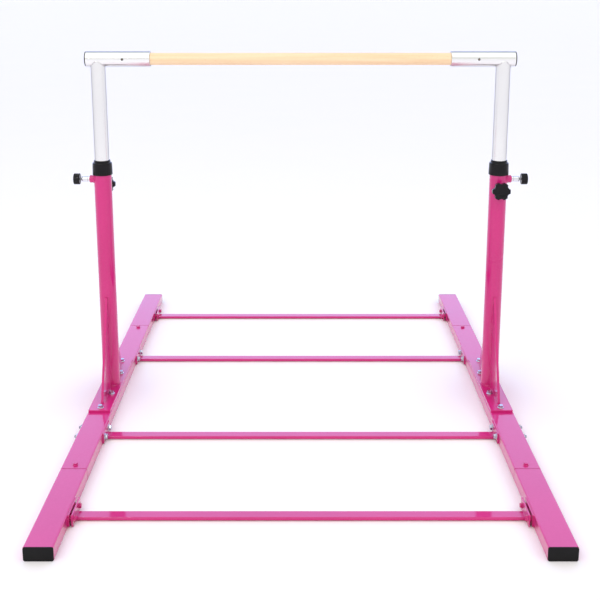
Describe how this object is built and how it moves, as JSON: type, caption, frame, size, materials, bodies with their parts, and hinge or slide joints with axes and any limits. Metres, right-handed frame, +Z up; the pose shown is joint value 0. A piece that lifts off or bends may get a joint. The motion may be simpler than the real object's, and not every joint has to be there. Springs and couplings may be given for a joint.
{
  "type": "kip bar",
  "caption": "Gymnastics kip bar: a round wooden bar between two height-adjustable posts on a floor frame of two long rails joined by cross ties.",
  "frame": {"origin": "on the floor under the middle of the frame", "axes": "+X along the bar to the right, +Y along the floor rails to the rear, +Z up"},
  "size_m": [1.558, 2.008, 1.236],
  "materials": {
    "pink_paint": "gloss powder coat",
    "silver_paint": "satin silver powder coat",
    "bar_wood": "sanded and lacquered beech",
    "black_gloss_plastic": "gloss moulded",
    "black_matte_plastic": "satin moulded",
    "chrome_plate": "polished",
    "zinc_plate": "bright zinc",
    "plain_steel": "bare, lightly oiled"
  },
  "bodies": {
    "base": {"base_plate_bolts": "zinc_plate", "base_plate_weld_nuts": "pink_paint", "clamp_weld_nuts": "pink_paint", "extension_tie_brackets": "pink_paint", "extension_tie_end_plates": "pink_paint", "extension_tie_screws": "pink_paint", "extension_tie_spacers": "pink_paint", "extension_tie_weld_nuts": "pink_paint", "front_extension_tie": "pink_paint", "front_middle_tie": "pink_paint", "joiner_screws": "pink_paint", "joiner_weld_nuts": "pink_paint", "left_base_plate": "pink_paint", "left_front_joiner": "pink_paint", "left_front_rail": "pink_paint", "left_guide_collar": "black_gloss_plastic", "left_gussets": "pink_paint", "left_middle_rail": "pink_paint", "left_pin_barrel": "chrome_plate", "left_pin_boss": "pink_paint", "left_pin_spring": "plain_steel", "left_rear_joiner": "pink_paint", "left_rear_rail": "pink_paint", "left_upright": "pink_paint", "middle_tie_bolts": "zinc_plate", "middle_tie_end_plates": "pink_paint", "middle_tie_nuts": "zinc_plate", "rail_end_caps": "black_matte_plastic", "rear_extension_tie": "pink_paint", "rear_middle_tie": "pink_paint", "right_base_plate": "pink_paint", "right_front_joiner": "pink_paint", "right_front_rail": "pink_paint", "right_guide_collar": "black_gloss_plastic", "right_gussets": "pink_paint", "right_middle_rail": "pink_paint", "right_pin_barrel": "chrome_plate", "right_pin_boss": "pink_paint", "right_pin_spring": "plain_steel", "right_rear_joiner": "pink_paint", "right_rear_rail": "pink_paint", "right_upright": "pink_paint"},
    "top_frame": {"wooden_bar": "bar_wood", "bar_screws": "plain_steel", "sleeve_plugs": "black_matte_plastic", "left_inner_post": "silver_paint", "left_bar_sleeve": "silver_paint", "left_lower_guide": "black_matte_plastic", "right_inner_post": "silver_paint", "right_bar_sleeve": "silver_paint", "right_lower_guide": "black_matte_plastic"},
    "left_lock_pin": {"left_pin_plunger": "plain_steel", "left_pin_knob": "black_gloss_plastic"},
    "left_clamp": {"left_clamp_knob": "black_gloss_plastic", "left_clamp_stud": "plain_steel"},
    "right_lock_pin": {"right_pin_plunger": "plain_steel", "right_pin_knob": "black_gloss_plastic"},
    "right_clamp": {"right_clamp_knob": "black_gloss_plastic", "right_clamp_stud": "plain_steel"}
  },
  "joints": [
    {"name": "mast_slide", "type": "slide", "parent": "base", "child": "top_frame", "axis": [0, 0, 1], "range_m": [-0.3, 0.3]},
    {"name": "left_pin_pull", "type": "slide", "parent": "base", "child": "left_lock_pin", "axis": [-1, 0, 0], "range_m": [0, 0.01], "stiffness_N_per_m": 1000, "springref_m": -0.012, "deforming": ["left_pin_spring"]},
    {"name": "right_pin_pull", "type": "slide", "parent": "base", "child": "right_lock_pin", "axis": [1, 0, 0], "range_m": [0, 0.01], "stiffness_N_per_m": 1000, "springref_m": -0.012, "deforming": ["right_pin_spring"]},
    {"name": "left_clamp_turn", "type": "hinge", "parent": "base", "child": "left_clamp", "pos_m": [-0.68, 0, 0.769], "axis": [0, 1, 0], "continuous": true},
    {"name": "right_clamp_turn", "type": "hinge", "parent": "base", "child": "right_clamp", "pos_m": [0.68, 0, 0.769], "axis": [0, -1, 0], "continuous": true}
  ]
}
